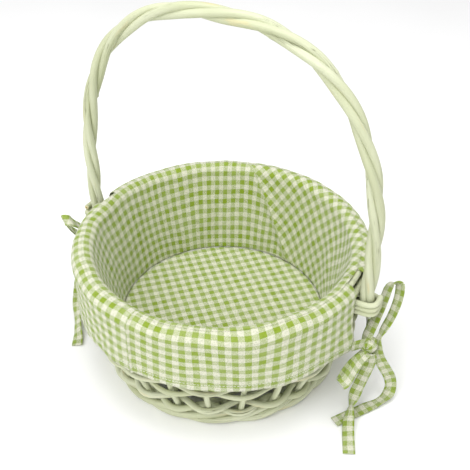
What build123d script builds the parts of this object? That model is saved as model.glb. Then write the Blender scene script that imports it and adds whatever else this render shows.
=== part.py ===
from build123d import *
import os
from math import atan2, cos, degrees, hypot, pi, radians, sin, tan

# Round lined willow basket with a fixed roped handle. Millimetres, +Z up.
# Origin: centre of the underside. The handle stands in the XZ plane, the front flap faces -Y.

# Base
base_z = 9.2  # middle of the base sticks
stick_d = 5.0
stick_gap = 6.5  # between neighbouring sticks where the two layers cross
stick_layer = 2.8  # half the step between the two layers at the crossing
base_edge_r = 92.0
base_weaver_d = 4.2
base_first_r = 33.0
base_last_r = 86.0
base_fan_r = 29.0  # where the sticks turn towards their arms
base_cross_r = 14.0  # half length of the straight crossing
arms = 12

# Side
stake_count = 24
stake_d = 5.0
stake_foot_r = 100.0
stake_flare_r = 118.0  # where the flare from the foot ends and the wall stands nearly upright
stake_flare_z = 52.0
stake_flare_bend_r = 15.0
stake_top_z = 114.0
stake_top_r = 119.7
stake_inset = 1.0  # how far the stakes start inside the base's edge
stake_bend_r = 7.0
foot_rod_d = 6.0
foot_flat = 0.3  # depth of the flat that the two lower foot rods stand on
foot_inner_r = 97.4
foot_outer_r = 103.8
foot_upper_r = 105.9
wale_d = 5.4
wale_first_z = 15.4
wale_pitch = 5.7
wale_count = 2
side_weaver_d = 4.6
side_first_z = 34.0
side_turn_rise = 16.0
side_turns = 3.4
border_d = 5.0
border_z = 110.2
border_top_d = 6.0
border_top_z = 117.6
border_top_out = 0.6  # middle of the top border rod, outside the stakes' tips
gap = 0.3  # clearance kept between woven pieces
wave_corner_r = 8.0  # bend of a rod where it passes a stake
base_corner_r = 5.0  # the same for a rod woven into the base

# Handle
handle_half_span = 134.0
handle_foot_z = 96.0
handle_spring_z = 144.0  # where the uprights turn into the arch
handle_rise = 172.0
handle_power = 2.4
strand_d = 5.8
strand_centre_r = 4.0
strand_pitch = 137.0
strand_steps = 8  # points on each turn
arch_samples = 900
lashing_d = 4.5
lashing_z = 104.0
lashing_in_x = 111.6
lashing_out_x = 143.6
lashing_half_y = 9.0
lashing_bend_r = 6.0

# Liner
cloth_t = 1.2
liner_floor_z = 37.0
liner_floor_r = 93.3
liner_lean = 0.213  # widening of the wall for each mm of height
rim_z = 121.6  # underside of the cloth over the border
flap_r = 129.8
flap_low_z = 62.0
slot_half_angle = 7.6  # half the opening left for each handle foot
seam_gap = 0.02  # between the flaps and the wall's top edge

# Ties: round tubes stand in for flat ties about 10 mm wide
tie_d = 3.0
front_tie_route = [
    (132.4, -19.0, 66.0),
    (136.5, -13.0, 65.5),
    (141.0, -6.5, 63.5),
    (143.6, -1.0, 59.5),
    (142.6, -3.0, 53.5),
    (139.0, -11.5, 51.0),
    (135.8, -22.5, 51.0),
    (134.0, -33.0, 49.5),
    (133.8, -41.0, 48.8),
    (134.1, -46.0, 49.2),
    (135.7, -49.0, 51.2),
    (138.6, -49.0, 54.8),
    (139.7, -45.0, 56.2),
    (140.0, -34.5, 57.5),
    (142.0, -20.5, 59.8),
    (145.3, -11.5, 58.3),
    (146.5, -8.5, 51.0),
    (145.8, -10.0, 41.0),
    (143.0, -16.0, 29.5),
    (141.0, -24.0, 18.5),
    (141.5, -34.0, 10.0),
    (145.0, -46.0, 4.4),
    (150.5, -58.5, 1.9),
    (156.0, -71.0, 1.6),
]
back_tie_route = [
    (132.4, 19.0, 66.0),
    (135.5, 11.0, 62.0),
    (137.5, 3.0, 57.8),
    (138.3, -4.0, 58.2),
    (138.8, -5.8, 65.5),
    (140.5, 1.5, 75.5),
    (142.5, 11.5, 86.0),
    (143.2, 20.0, 95.0),
    (143.4, 25.2, 101.2),
    (146.0, 28.7, 104.7),
    (151.2, 30.0, 104.7),
    (153.1, 28.2, 101.4),
    (153.8, 22.9, 91.5),
    (152.4, 15.0, 79.5),
    (148.8, 5.5, 68.5),
    (147.3, -1.5, 59.5),
    (150.5, -3.0, 49.0),
    (156.5, -0.5, 37.0),
    (161.5, 3.5, 25.0),
    (164.3, 4.5, 13.5),
    (163.8, 0.5, 5.2),
    (158.8, -8.5, 1.8),
    (152.0, -18.0, 1.7),
    (145.7, -27.5, 1.6),
    (139.3, -37.0, 1.7),
    (133.2, -46.7, 1.6),
]
left_front_tail = [
    (-151.5, -1.5, 48.0),
    (-153.0, -11.0, 37.0),
    (-150.0, -23.0, 27.0),
    (-143.5, -35.5, 18.0),
    (-135.5, -48.0, 10.5),
    (-127.0, -59.5, 5.0),
    (-119.5, -69.0, 2.2),
    (-115.0, -77.0, 1.6),
]


def polar(radius, angle, z):
    """Point at a radius and an angle in degrees."""
    return (radius * cos(radians(angle)), radius * sin(radians(angle)), z)


def stake_radius(z):
    """Radius of the ring of stakes at a height."""
    if z < stake_flare_z:
        return stake_foot_r + (stake_flare_r - stake_foot_r) * (z - base_z) / (stake_flare_z - base_z)
    return stake_flare_r + (stake_top_r - stake_flare_r) * (z - stake_flare_z) / (stake_top_z - stake_flare_z)


def tube(path, diameter):
    """Round rod along a path."""
    return sweep(Plane(origin=path @ 0, z_dir=path % 0) * Circle(diameter / 2), path=path)


def corner_radii(points):
    """Arc radius at each inner point: as large as the two runs beside it allow."""
    radii = []
    for before, point, after in zip(points, points[1:], points[2:]):
        run_in = Vector(*point) - Vector(*before)
        run_out = Vector(*after) - Vector(*point)
        turn = radians(run_in.get_angle(run_out))
        radii.append(0.45 * min(run_in.length, run_out.length) / tan(turn / 2))
    return radii


def rounded(points):
    """Straight runs joined by tangent arcs through a hand-set route."""
    return FilletPolyline(*points, radius=corner_radii(points))


def wave_offset(rod_d):
    """Distance from the stake ring to a weaver's centre line where it passes a stake."""
    return stake_d / 2 + rod_d / 2 + gap


def corner_pull(radius, turn):
    """How far an arc passes inside its corner point, for a turn in degrees."""
    return radius * (1 / cos(radians(turn) / 2) - 1)


def wave_point(k, z, rod_d, outside):
    """Corner of a weaver at stake k, outside or inside the ring of stakes."""
    ring = stake_radius(z)
    step = 360 / stake_count
    slope = degrees(atan2(2 * wave_offset(rod_d) + 1, 2 * pi * ring / stake_count))
    turn = 2 * slope + step if outside else 2 * slope - step
    shift = wave_offset(rod_d) + corner_pull(wave_corner_r, turn)
    return polar(ring + shift if outside else ring - shift, (k + 0.5) * step, z)


def base_stick(offset, turn, layer):
    """One base stick: straight through the crossing, then fanned out to its two arms."""
    arm_angle = offset * 360 / arms
    side = [
        polar(base_edge_r, arm_angle, base_z),
        polar(base_fan_r, arm_angle, base_z),
        (base_cross_r, offset * stick_gap, base_z + layer),
    ]
    points = side + [(-x, y, z) for x, y, z in reversed(side)]
    if offset == 0:
        points = [(x, 0.0, z) for x, y, z in points]
    return Rot(0, 0, turn) * tube(rounded(points), stick_d)


def base_sticks(turn, layer):
    """Three base sticks that lie side by side in one layer."""
    return Compound(children=[base_stick(offset, turn, layer) for offset in (-1, 0, 1)])


def base_weaver(phase):
    """One of two rods that wind outwards, over one arm and under the next."""
    turns = (base_last_r - base_first_r) / (4 * (base_weaver_d / 2 + gap))
    lift = stick_d / 2 + base_weaver_d / 2 + 1.5 * gap
    points = []
    for k in range(int(turns * arms) + 1):
        radius = base_first_r + (base_last_r - base_first_r) * k / (turns * arms)
        up = 1 if (k + phase) % 2 else -1
        turn = 2 * degrees(atan2(2 * lift + 1, 2 * pi * radius / arms))
        rise = lift + corner_pull(base_corner_r, turn)
        points.append(polar(radius, (k + phase * arms / 2) * 360 / arms, base_z + up * rise))
    return tube(FilletPolyline(*points, radius=base_corner_r), base_weaver_d)


def stake(k):
    """One side stake, bent up at the edge of the base and again where the flare ends."""
    angle = (k + 0.5) * 360 / stake_count
    points = [
        polar(base_edge_r - stake_inset, angle, base_z),
        polar(stake_foot_r, angle, base_z),
        polar(stake_flare_r, angle, stake_flare_z),
        polar(stake_top_r, angle, stake_top_z),
    ]
    return tube(FilletPolyline(*points, radius=[stake_bend_r, stake_flare_bend_r]), stake_d)


def stakes():
    """All side stakes."""
    return Compound(children=[stake(k) for k in range(stake_count)])


def plain_ring(radius, z, diameter):
    """Round rod bent into a level ring."""
    return Pos(0, 0, z) * Torus(radius, diameter / 2)


def foot_rod(radius):
    """Lower foot rod, with the flat that the basket stands on."""
    ring = plain_ring(radius, foot_rod_d / 2 - foot_flat, foot_rod_d)
    return ring - Pos(0, 0, -foot_rod_d / 2) * Cylinder(radius + foot_rod_d, foot_rod_d)


def wale_rod(row):
    """One thick woven row, in and out between the stakes."""
    z = wale_first_z + row * wale_pitch
    points = [wave_point(k, z, wale_d, (k + row) % 2 == 0) for k in range(stake_count)]
    return tube(FilletPolyline(*points, radius=wave_corner_r, close=True), wale_d)


def side_weaver(phase):
    """One of two thin rods that climb the side together, in opposite phase."""
    steps = int(side_turns * stake_count)
    points = []
    for k in range(steps + 1):
        z = side_first_z + side_turn_rise * (k / stake_count + phase / 2)
        points.append(wave_point(k, z, side_weaver_d, (k + phase) % 2 == 0))
    return tube(FilletPolyline(*points, radius=wave_corner_r), side_weaver_d)


def arch_point(angle):
    """Point of the handle's middle line above its uprights, from 0 at +X to pi at -X."""
    c = cos(angle)
    x = handle_half_span * (1 if c > 0 else -1) * abs(c) ** (2 / handle_power)
    return (x, handle_spring_z + handle_rise * sin(angle) ** (2 / handle_power))


def handle_line():
    """Closely spaced points of the handle's middle line, from foot to foot."""
    upright = [handle_foot_z + k for k in range(int(handle_spring_z - handle_foot_z))]
    arch = [arch_point(pi * k / arch_samples) for k in range(arch_samples)]
    right = [(handle_half_span, z) for z in upright]
    left = [(-handle_half_span, z) for z in reversed(upright)]
    return right + arch + [(-handle_half_span, handle_spring_z)] + left


def handle_rod(strand):
    """One of the three rods twisted round each other to make the handle."""
    line = handle_line()
    points = []
    travelled = 0.0
    wanted = 0.0
    for here, there in zip(line, line[1:]):
        step = hypot(there[0] - here[0], there[1] - here[1])
        if travelled >= wanted:
            twist = 2 * pi * travelled / strand_pitch + strand * 2 * pi / 3
            out = strand_centre_r * cos(twist)
            across_x = (there[1] - here[1]) / step
            across_z = (here[0] - there[0]) / step
            y = -strand_centre_r * sin(twist)
            points.append((here[0] + out * across_x, y, here[1] + out * across_z))
            wanted += strand_pitch / strand_steps
        travelled += step
    return tube(rounded(points), strand_d)


def handle_lashing(side):
    """Rod end turned round a handle foot, through the wall between two stakes."""
    points = [
        (side * lashing_in_x, -lashing_half_y, lashing_z),
        (side * lashing_in_x, lashing_half_y, lashing_z),
        (side * lashing_out_x, lashing_half_y, lashing_z),
        (side * lashing_out_x, -lashing_half_y, lashing_z),
    ]
    return tube(FilletPolyline(*points, radius=lashing_bend_r, close=True), lashing_d)


def liner_radius(z):
    """Outside radius of the liner's wall at a height."""
    return liner_floor_r + liner_lean * (z - liner_floor_z)


def liner_base():
    """Flat round cloth bottom."""
    return Pos(0, 0, liner_floor_z + cloth_t / 2) * Cylinder(liner_floor_r - cloth_t - gap, cloth_t)


def liner_wall():
    """Cloth wall inside the basket."""
    top = liner_radius(rim_z)
    corners = [
        (liner_floor_r, liner_floor_z),
        (top, rim_z),
        (top - cloth_t, rim_z),
        (liner_floor_r - cloth_t, liner_floor_z),
    ]
    face = make_face(Plane.XZ * Polyline(*corners, close=True))
    return revolve(face, Axis.Z, 360)


def flap(middle):
    """Cloth over the border and down the outside, between the two handle feet."""
    inner = liner_radius(rim_z) - cloth_t
    corners = [
        (inner, rim_z + seam_gap),
        (flap_r - cloth_t, rim_z + seam_gap),
        (flap_r - cloth_t, flap_low_z),
        (flap_r, flap_low_z),
        (flap_r, rim_z + cloth_t),
        (inner, rim_z + cloth_t),
    ]
    face = make_face(Plane.XZ * Polyline(*corners, close=True))
    turn = middle - 90 + slot_half_angle
    return Rot(0, 0, turn) * revolve(face, Axis.Z, 180 - 2 * slot_half_angle)


def half_turn(points):
    """The same route on the other side of the basket."""
    return [(-x, -y, z) for x, y, z in points]


def tie_routes():
    """Route of each tie: flap corner, knot, loop, knot, free tail."""
    return {
        "tie_front_right": front_tie_route,
        "tie_back_right": back_tie_route,
        "tie_back_left": half_turn(back_tie_route[:16]) + left_front_tail,
        "tie_front_left": half_turn(front_tie_route),
    }


def build_parts():
    """Every piece under its node name."""
    radius_out = stake_radius(border_z) + stake_d / 2 + border_d / 2 + gap
    radius_in = stake_radius(border_z) - stake_d / 2 - border_d / 2 - gap
    parts = {
        "base_sticks_lower": base_sticks(0, -stick_layer),
        "base_sticks_upper": base_sticks(90, stick_layer),
        "base_weaver_a": base_weaver(0),
        "base_weaver_b": base_weaver(1),
        "side_stakes": stakes(),
        "foot_rod_inner": foot_rod(foot_inner_r),
        "foot_rod_outer": foot_rod(foot_outer_r),
        "foot_rod_upper": plain_ring(foot_upper_r, foot_rod_d * 1.5 + gap, foot_rod_d),
        "side_weaver_a": side_weaver(0),
        "side_weaver_b": side_weaver(1),
        "border_rod_inner": plain_ring(radius_in, border_z, border_d),
        "border_rod_outer": plain_ring(radius_out, border_z, border_d),
        "border_rod_top": plain_ring(stake_top_r + border_top_out, border_top_z, border_top_d),
        "handle_lashing_right": handle_lashing(1),
        "handle_lashing_left": handle_lashing(-1),
        "liner_base": liner_base(),
        "liner_wall": liner_wall(),
        "liner_front_flap": flap(-90),
        "liner_back_flap": flap(90),
    }
    for row in range(wale_count):
        parts[f"wale_rod_{row + 1}"] = wale_rod(row)
    for strand, letter in enumerate("abc"):
        parts[f"handle_rod_{letter}"] = handle_rod(strand)
    for name, route in tie_routes().items():
        print(name, "radii", [round(radius, 1) for radius in corner_radii(route)])
        parts[name] = tube(rounded(route), tie_d)
    return parts


os.makedirs("parts", exist_ok=True)
for node, shape in build_parts().items():
    shape.label = node
    export_step(shape, f"parts/{node}.step")
    print(node, round(shape.volume / 1000, 2), "cm3")
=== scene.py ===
"""A round lined willow basket: painted rods, a roped handle and a gingham liner tied in bows.

Metres, +Z up, origin at the centre of the underside. The handle stands in the XZ plane and the
liner's front flap faces -Y.
"""

import logging
from collections.abc import Callable, Iterable, Sequence
from dataclasses import dataclass, field
from enum import Enum
from functools import cached_property
from math import atan2, cos, hypot, pi, radians, sin

import bpy
import numpy as np
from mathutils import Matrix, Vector, noise


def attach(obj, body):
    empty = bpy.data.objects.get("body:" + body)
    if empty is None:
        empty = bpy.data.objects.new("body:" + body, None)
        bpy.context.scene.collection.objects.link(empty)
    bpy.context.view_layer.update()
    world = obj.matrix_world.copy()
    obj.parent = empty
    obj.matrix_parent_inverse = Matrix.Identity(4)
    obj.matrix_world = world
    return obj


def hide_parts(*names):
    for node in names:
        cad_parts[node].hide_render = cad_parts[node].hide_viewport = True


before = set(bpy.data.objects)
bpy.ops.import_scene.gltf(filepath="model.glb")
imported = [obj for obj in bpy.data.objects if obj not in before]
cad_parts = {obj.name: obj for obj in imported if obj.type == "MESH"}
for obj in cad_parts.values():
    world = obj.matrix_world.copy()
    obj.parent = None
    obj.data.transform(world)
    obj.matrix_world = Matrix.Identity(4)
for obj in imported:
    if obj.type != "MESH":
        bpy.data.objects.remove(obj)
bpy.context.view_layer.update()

BODY = "root"
MM = 0.001
log = logging.getLogger("basket")

Point = tuple[float, float, float]


class Slot(str, Enum):
    """Material slots of the record."""

    WILLOW = "willow"
    GINGHAM = "gingham"
    TIE = "tie_cloth"


# --------------------------------------------------------------------------- shared sizes


@dataclass(frozen=True)
class WallPlan:
    """Where the ring of side stakes stands, and how rods pass round it."""

    stake_count: int = 24
    stake_d: float = 5.0 * MM
    foot_r: float = 100.0 * MM
    foot_z: float = 9.2 * MM
    flare_r: float = 118.0 * MM
    flare_z: float = 52.0 * MM
    top_r: float = 119.7 * MM
    top_z: float = 114.0 * MM
    gap: float = 0.3 * MM

    def radius(self, z: float) -> float:
        """Radius of the ring of stakes at a height: a flare from the foot, then nearly upright.

        Args:
            z: height above the ground.

        Returns:
            The radius, in metres.
        """
        if z < self.flare_z:
            share = (z - self.foot_z) / (self.flare_z - self.foot_z)
            return self.foot_r + (self.flare_r - self.foot_r) * share
        share = (z - self.flare_z) / (self.top_z - self.flare_z)
        return self.flare_r + (self.top_r - self.flare_r) * share

    def offset(self, rod_d: float) -> float:
        """Distance from the stakes' ring to a rod's middle where it passes a stake."""
        return self.stake_d / 2 + rod_d / 2 + self.gap

    @property
    def step(self) -> float:
        """Angle between neighbouring stakes, in radians."""
        return 2 * pi / self.stake_count


WALL = WallPlan()


def polar(radius: float, angle: float, z: float) -> Point:
    """Point at a radius, an angle in radians and a height."""
    return (radius * cos(angle), radius * sin(angle), z)


def wobble(x: float, y: float, seed: float) -> float:
    """Smooth noise between about -1 and 1."""
    return noise.noise(Vector((x, y, seed * 7.31 + 0.5)))


def soften(points: Sequence[Point], rounds: int = 4) -> np.ndarray:
    """Rounds the corners of an open line by cutting them again and again.

    Args:
        points: corners of the line.
        rounds: how often each corner is cut.

    Returns:
        The rounded line, with the same ends.
    """
    line = np.array(points, float)
    for _ in range(rounds):
        early = line[:-1] * 0.75 + line[1:] * 0.25
        late = line[:-1] * 0.25 + line[1:] * 0.75
        cut = np.empty((2 * len(early), 3))
        cut[0::2], cut[1::2] = early, late
        line = np.vstack([line[:1], cut[1:-1], line[-1:]])
    return line


# --------------------------------------------------------------------------- shader helpers


class Graph:
    """Short calls for building one material's node tree."""

    def __init__(self, name: str) -> None:
        """Starts a material with a Principled shader.

        Args:
            name: the material's name.
        """
        self.material = bpy.data.materials.new(name)
        self.material.use_nodes = True
        self.tree = self.material.node_tree
        self.shader = self.tree.nodes["Principled BSDF"]

    def node(self, kind: str, **settings: object) -> bpy.types.Node:
        """Adds a node and sets its properties.

        Args:
            kind: the node's type.
            settings: its properties.

        Returns:
            The new node.
        """
        made = self.tree.nodes.new(kind)
        for key, value in settings.items():
            setattr(made, key, value)
        return made

    def link(self, value: object, socket: bpy.types.NodeSocket) -> None:
        """Joins an output to a socket, or sets the socket's own value.

        Args:
            value: an output, or a plain value.
            socket: the input that takes it.
        """
        if isinstance(value, bpy.types.NodeSocket):
            self.tree.links.new(value, socket)
        else:
            socket.default_value = value

    def attribute(self, name: str) -> bpy.types.NodeSocket:
        """Vector stored on the mesh."""
        return self.node("ShaderNodeAttribute", attribute_name=name).outputs["Vector"]

    def scaled(self, vector: object, scale: Point, shift: Point = (0, 0, 0)) -> bpy.types.NodeSocket:
        """Vector times a scale, plus a shift.

        Args:
            vector: the vector.
            scale: the scale on each axis.
            shift: what is added.

        Returns:
            The output to join on.
        """
        made = self.node("ShaderNodeMapping")
        self.link(vector, made.inputs["Vector"])
        made.inputs["Scale"].default_value = scale
        made.inputs["Location"].default_value = shift
        return made.outputs["Vector"]

    def parts(self, vector: object) -> list[bpy.types.NodeSocket]:
        """The three numbers of a vector.

        Args:
            vector: the vector.

        Returns:
            Three outputs.
        """
        made = self.node("ShaderNodeSeparateXYZ")
        self.link(vector, made.inputs[0])
        return list(made.outputs)

    def math(self, operation: str, a: object, b: object = 0.0) -> bpy.types.NodeSocket:
        """One step of arithmetic.

        Args:
            operation: the step's name.
            a: first number.
            b: second number.

        Returns:
            The output to join on.
        """
        made = self.node("ShaderNodeMath", operation=operation)
        self.link(a, made.inputs[0])
        self.link(b, made.inputs[1])
        return made.outputs[0]

    def noise(
        self, vector: object, scale: float, detail: float = 2.0, rough: float = 0.5
    ) -> bpy.types.NodeSocket:
        """Noise between 0 and 1.

        Args:
            vector: where the noise is read.
            scale: how fine it is.
            detail: how many finer layers it has.
            rough: how strong those are.

        Returns:
            The output to join on.
        """
        made = self.node("ShaderNodeTexNoise")
        self.link(vector, made.inputs["Vector"])
        made.inputs["Scale"].default_value = scale
        made.inputs["Detail"].default_value = detail
        made.inputs["Roughness"].default_value = rough
        return made.outputs["Fac"]

    def ramp(
        self, value: object, low: float, high: float, bottom: float = 0.0, top: float = 1.0
    ) -> bpy.types.NodeSocket:
        """Smooth step of a value from one range to another.

        Args:
            value: the number to map.
            low: where the step starts.
            high: where it ends.
            bottom: result below the step.
            top: result above it.

        Returns:
            The output to join on.
        """
        made = self.node("ShaderNodeMapRange", interpolation_type="SMOOTHSTEP")
        for number, socket in zip((value, low, high, bottom, top), made.inputs):
            self.link(number, socket)
        return made.outputs[0]

    def mix(self, share: object, a: object, b: object) -> bpy.types.NodeSocket:
        """Blend of two colours.

        Args:
            share: share of the second colour.
            a: first colour.
            b: second colour.

        Returns:
            The output to join on.
        """
        made = self.node("ShaderNodeMix", data_type="RGBA")
        self.link(share, made.inputs[0])
        self.link(a, made.inputs[6])
        self.link(b, made.inputs[7])
        return made.outputs[2]

    def bump(
        self, height: object, distance: float, strength: float, under: object = None
    ) -> bpy.types.NodeSocket:
        """Normal raised by a height, laid over another normal.

        Args:
            height: the height that shows.
            distance: its full rise.
            strength: share of it that is used.
            under: the normal below, if any.

        Returns:
            The output to join on.
        """
        made = self.node("ShaderNodeBump")
        self.link(height, made.inputs["Height"])
        made.inputs["Distance"].default_value = distance
        made.inputs["Strength"].default_value = strength
        if under is not None:
            self.link(under, made.inputs["Normal"])
        return made.outputs["Normal"]

    def surface(self, **inputs: object) -> bpy.types.Material:
        """Joins values to the shader's inputs and gives the material.

        Args:
            inputs: values by input name, with _ for a space.

        Returns:
            The finished material.
        """
        for key, value in inputs.items():
            self.link(value, self.shader.inputs[key.replace("_", " ")])
        return self.material


def colour(red: float, green: float, blue: float) -> tuple[float, float, float, float]:
    """Linear colour from everyday 0 to 255 values."""
    return tuple(((c / 255 + 0.055) / 1.055) ** 2.4 for c in (red, green, blue)) + (1.0,)


# --------------------------------------------------------------------------- finishes


@dataclass(frozen=True)
class WillowFinish:
    """Thin pale green paint brushed over peeled willow."""

    name: str = "painted_willow"
    paint: tuple = colour(206, 210, 181)
    shade: tuple = colour(184, 189, 152)
    bare: tuple = colour(205, 190, 140)
    crack: tuple = colour(96, 98, 52)

    def material(self) -> bpy.types.Material:
        """Paint with streaks along the rod, thin places and fine dark splits.

        Returns:
            The material.
        """
        g = Graph(self.name)
        rod = g.attribute("rod")
        tint = g.noise(g.scaled(rod, (9, 60, 60)), 1.0, 3.0)
        streak = g.noise(g.scaled(rod, (35, 900, 900)), 1.0, 4.0, 0.6)
        fine = g.noise(g.scaled(rod, (140, 2600, 2600)), 1.0, 2.0)
        split = g.noise(g.scaled(rod, (22, 620, 620), (3.1, 0.7, 1.9)), 1.0, 1.0)
        split_line = g.ramp(g.math("ABSOLUTE", g.math("SUBTRACT", split, 0.5)), 0.004, 0.022, 1.0, 0.0)
        patch = g.ramp(g.noise(g.scaled(rod, (16, 90, 90), (5.0, 2.0, 8.0)), 1.0, 3.0), 0.57, 0.64)
        split_line = g.math("MULTIPLY", split_line, patch)
        worn = g.ramp(g.noise(g.scaled(rod, (28, 190, 190), (1.0, 6.0, 3.0)), 1.0, 4.0), 0.60, 0.72)
        body = g.mix(g.ramp(tint, 0.32, 0.68), self.paint, self.shade)
        body = g.mix(g.math("MULTIPLY", g.ramp(streak, 0.45, 0.75), 0.35), body, self.shade)
        body = g.mix(g.math("MULTIPLY", worn, 0.45), body, self.bare)
        body = g.mix(g.math("MULTIPLY", split_line, 0.85), body, self.crack)
        rough = g.ramp(streak, 0.2, 0.8, 0.42, 0.66)
        low = g.math("SUBTRACT", g.math("ADD", streak, g.math("MULTIPLY", fine, 0.4)), split_line)
        return g.surface(
            Base_Color=body,
            Roughness=rough,
            Normal=g.bump(low, 0.0006, 0.55),
            Specular_IOR_Level=0.4,
            Coat_Weight=0.08,
        )


@dataclass(frozen=True)
class CutEndFinish:
    """Sawn end of a willow rod: pith in the middle, pale wood round it."""

    name: str = "willow_cut_end"
    wood: tuple = colour(222, 212, 168)
    pith: tuple = colour(150, 128, 84)

    def material(self) -> bpy.types.Material:
        """Rings and pith from the rod's own cross-section.

        Returns:
            The material.
        """
        g = Graph(self.name)
        _, across, up = g.parts(g.attribute("rod"))
        far = g.math("SQRT", g.math("ADD", g.math("MULTIPLY", across, across), g.math("MULTIPLY", up, up)))
        rings = g.math("SINE", g.math("MULTIPLY", far, 9000.0))
        grain = g.noise(g.attribute("rod"), 1800.0, 3.0)
        body = g.mix(g.ramp(far, 0.0004, 0.0010), self.pith, self.wood)
        body = g.mix(g.math("MULTIPLY", g.ramp(rings, 0.2, 1.0), 0.25), body, self.pith)
        return g.surface(
            Base_Color=body,
            Roughness=g.ramp(grain, 0.2, 0.8, 0.7, 0.9),
            Normal=g.bump(grain, 0.0003, 0.5),
        )


@dataclass(frozen=True)
class GinghamFinish:
    """Plain-woven cotton with equal green and white stripes both ways."""

    name: str
    repeat: float = 9.2 * MM
    yarn: float = 0.5 * MM
    green: tuple = colour(138, 164, 26)
    white: tuple = colour(227, 226, 207)
    shadow: tuple = colour(92, 108, 40)
    crease: float = 0.35

    def material(self) -> bpy.types.Material:
        """Checks made yarn by yarn, with the weave's bumps, slubs and soft creases, and painted shade in fine
        specks and in the gaps between yarns.

        Returns:
            The material.
        """
        g = Graph(self.name)
        cloth = g.attribute("cloth")
        drift = g.math("MULTIPLY", g.math("SUBTRACT", g.noise(cloth, 70.0, 2.0), 0.5), 0.0012)
        u, v, _ = g.parts(cloth)
        u, v = g.math("ADD", u, drift), g.math("SUBTRACT", v, drift)
        across, along = self.stripe(g, u), self.stripe(g, v)
        yarn_u = g.math("FRACT", g.math("DIVIDE", u, 2 * self.yarn))
        yarn_v = g.math("FRACT", g.math("DIVIDE", v, 2 * self.yarn))
        left, low = g.math("GREATER_THAN", yarn_u, 0.5), g.math("GREATER_THAN", yarn_v, 0.5)
        over = g.math("ABSOLUTE", g.math("SUBTRACT", left, low))
        under = g.math("SUBTRACT", 1.0, over)
        top = g.math("ADD", g.math("MULTIPLY", across, over), g.math("MULTIPLY", along, under))
        slub = g.noise(g.scaled(cloth, (900, 2400, 1)), 1.0, 2.0)
        faded = g.ramp(g.noise(cloth, 45.0, 3.0), 0.3, 0.7, 0.0, 0.16)
        green = g.mix(faded, self.green, self.white)
        body = g.mix(top, self.white, green)
        body = g.mix(g.math("MULTIPLY", g.ramp(slub, 0.5, 0.8), 0.16), body, colour(150, 158, 130))
        wave_u = g.math("SINE", g.math("MULTIPLY", u, 2 * pi / self.yarn))
        wave_v = g.math("SINE", g.math("MULTIPLY", v, 2 * pi / self.yarn))
        weave = g.math("ADD", wave_u, wave_v)
        # painted shade: fine random specks darkened towards the shadow colour, standing in for the weave's
        # shadows
        shade_speck = g.ramp(g.noise(g.scaled(cloth, (700, 700, 1)), 1.0, 3.0, 0.7), 0.50, 0.66, 0.0, 0.34)
        body = g.mix(shade_speck, body, self.shadow)
        # painted shade: darker where the yarns dip apart, the shade in the gaps between yarns
        yarn_gap_shade = g.ramp(g.math("ADD", weave, g.math("MULTIPLY", slub, 1.2)), -1.0, 0.6, 0.55, 0.0)
        body = g.mix(yarn_gap_shade, body, self.shadow)
        soft = g.noise(g.scaled(cloth, (55, 55, 1)), 1.0, 4.0, 0.55)
        creased = g.bump(soft, 0.004, self.crease)
        return g.surface(
            Base_Color=body,
            Roughness=g.ramp(slub, 0.2, 0.8, 0.82, 0.96),
            Normal=g.bump(weave, 0.00012, 0.5, creased),
            Sheen_Weight=0.25,
            Specular_IOR_Level=0.2,
        )

    def stripe(self, g: Graph, spot: bpy.types.NodeSocket) -> bpy.types.NodeSocket:
        """1 on a green stripe and 0 on a white one, with a slightly soft edge."""
        saw = g.math("PINGPONG", g.math("DIVIDE", spot, self.repeat), 0.5)
        return g.ramp(saw, 0.235, 0.265)


@dataclass(frozen=True)
class ThreadFinish:
    """White sewing thread."""

    name: str = "sewing_thread"
    tone: tuple = colour(236, 238, 226)

    def material(self) -> bpy.types.Material:
        """Two plies twisted, seen as fine slanting lines: the grooves between them are painted darker as
        shade.

        Returns:
            The material.
        """
        g = Graph(self.name)
        along, across, up = g.parts(g.attribute("rod"))
        twist = g.math("MULTIPLY", g.math("ARCTAN2", up, across), 2.0)
        turn = g.math("ADD", g.math("MULTIPLY", along, 9000.0), twist)
        ply = g.math("SINE", turn)
        # painted shade: the grooves between the plies are tinted darker than the thread
        body = g.mix(g.ramp(ply, -1.0, -0.2), colour(190, 196, 170), self.tone)
        return g.surface(Base_Color=body, Roughness=0.8, Normal=g.bump(ply, 0.0001, 0.6), Sheen_Weight=0.2)


# --------------------------------------------------------------------------- mesh helpers


def place(name: str, mesh: bpy.types.Mesh, node: str | None) -> bpy.types.Object:
    """Adds a finished mesh to the scene as a piece of the basket.

    Args:
        name: the piece's name.
        mesh: its mesh, in the row frame.
        node: the CAD node that it stands for, if any.

    Returns:
        The new object.
    """
    piece = bpy.data.objects.new(name, mesh)
    bpy.context.scene.collection.objects.link(piece)
    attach(piece, BODY)
    if node:
        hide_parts(node)
    return piece


def store(mesh: bpy.types.Mesh, name: str, vectors: np.ndarray) -> None:
    """Keeps one vector for each vertex under a name."""
    layer = mesh.attributes.new(name, "FLOAT_VECTOR", "POINT")
    layer.data.foreach_set("vector", np.ascontiguousarray(vectors, np.float32).ravel())


def cloth_mesh(
    name: str, verts: list, flat: list, columns: int, finish: bpy.types.Material, flip: bool = False
) -> bpy.types.Mesh:
    """A smooth grid of cloth from its points, row after row.

    Args:
        name: the mesh's name.
        verts: its points, one row after the other.
        flat: their flat coordinates, in the same order.
        columns: points in each row.
        finish: its material.
        flip: whether the faces turn the other way.

    Returns:
        The mesh.
    """
    faces = []
    for i in range(len(verts) // columns - 1):
        for j in range(columns - 1):
            a, b = i * columns + j, (i + 1) * columns + j
            faces.append((a, a + 1, b + 1, b) if flip else (a, b, b + 1, a + 1))
    mesh = bpy.data.meshes.new(name)
    mesh.from_pydata(verts, [], faces)
    mesh.polygons.foreach_set("use_smooth", [True] * len(faces))
    store(mesh, "cloth", np.array(flat))
    mesh.materials.append(finish)
    mesh.update()
    return mesh


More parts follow.
